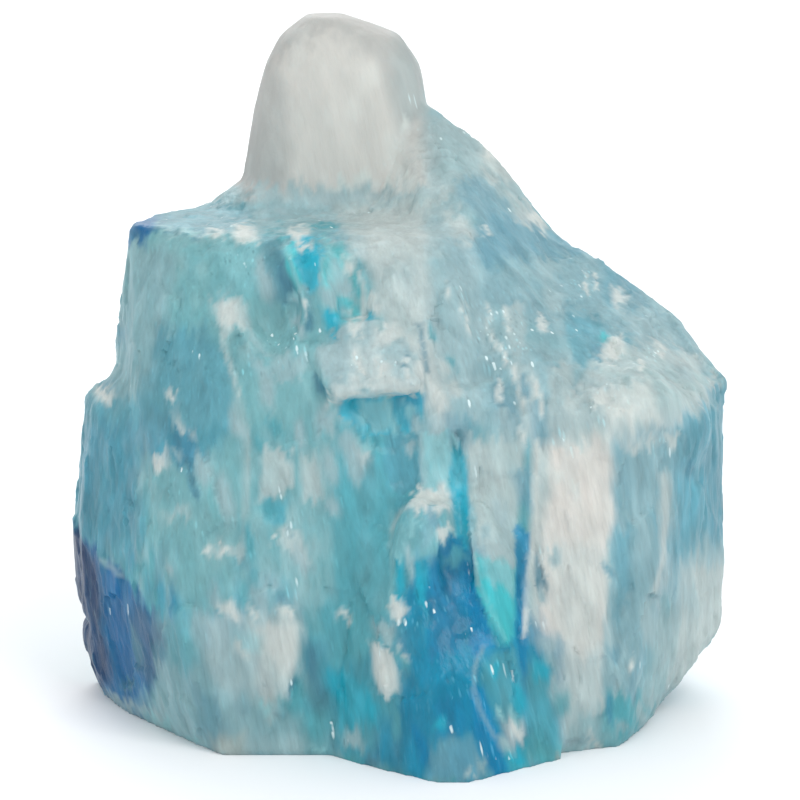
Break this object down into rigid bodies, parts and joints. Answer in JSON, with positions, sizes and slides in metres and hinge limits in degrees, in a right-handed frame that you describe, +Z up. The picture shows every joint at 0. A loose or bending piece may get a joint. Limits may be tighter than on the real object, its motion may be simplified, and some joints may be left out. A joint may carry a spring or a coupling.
{
  "type": "rock salt crystal",
  "caption": "Hand-sized lump of blue rock salt with a blunt frosted knob, a flat ledge, a fluted pillar and a forward prow, standing on a flat broken face.",
  "frame": {"origin": "middle of the bounding box, on the flat face the lump stands on", "axes": "+Z up, +X to the right and -Y towards the viewer of the front with the shelf and the prow"},
  "size_m": [0.0728, 0.0616, 0.0753],
  "materials": {
    "salt": "cloudy see-through blue salt, frosted white on the knob, ledge and pillar, deep blue in the cracks, glossy on fresh cleavage faces"
  },
  "bodies": {
    "root": {"salt_crystal": "salt"}
  },
  "joints": []
}
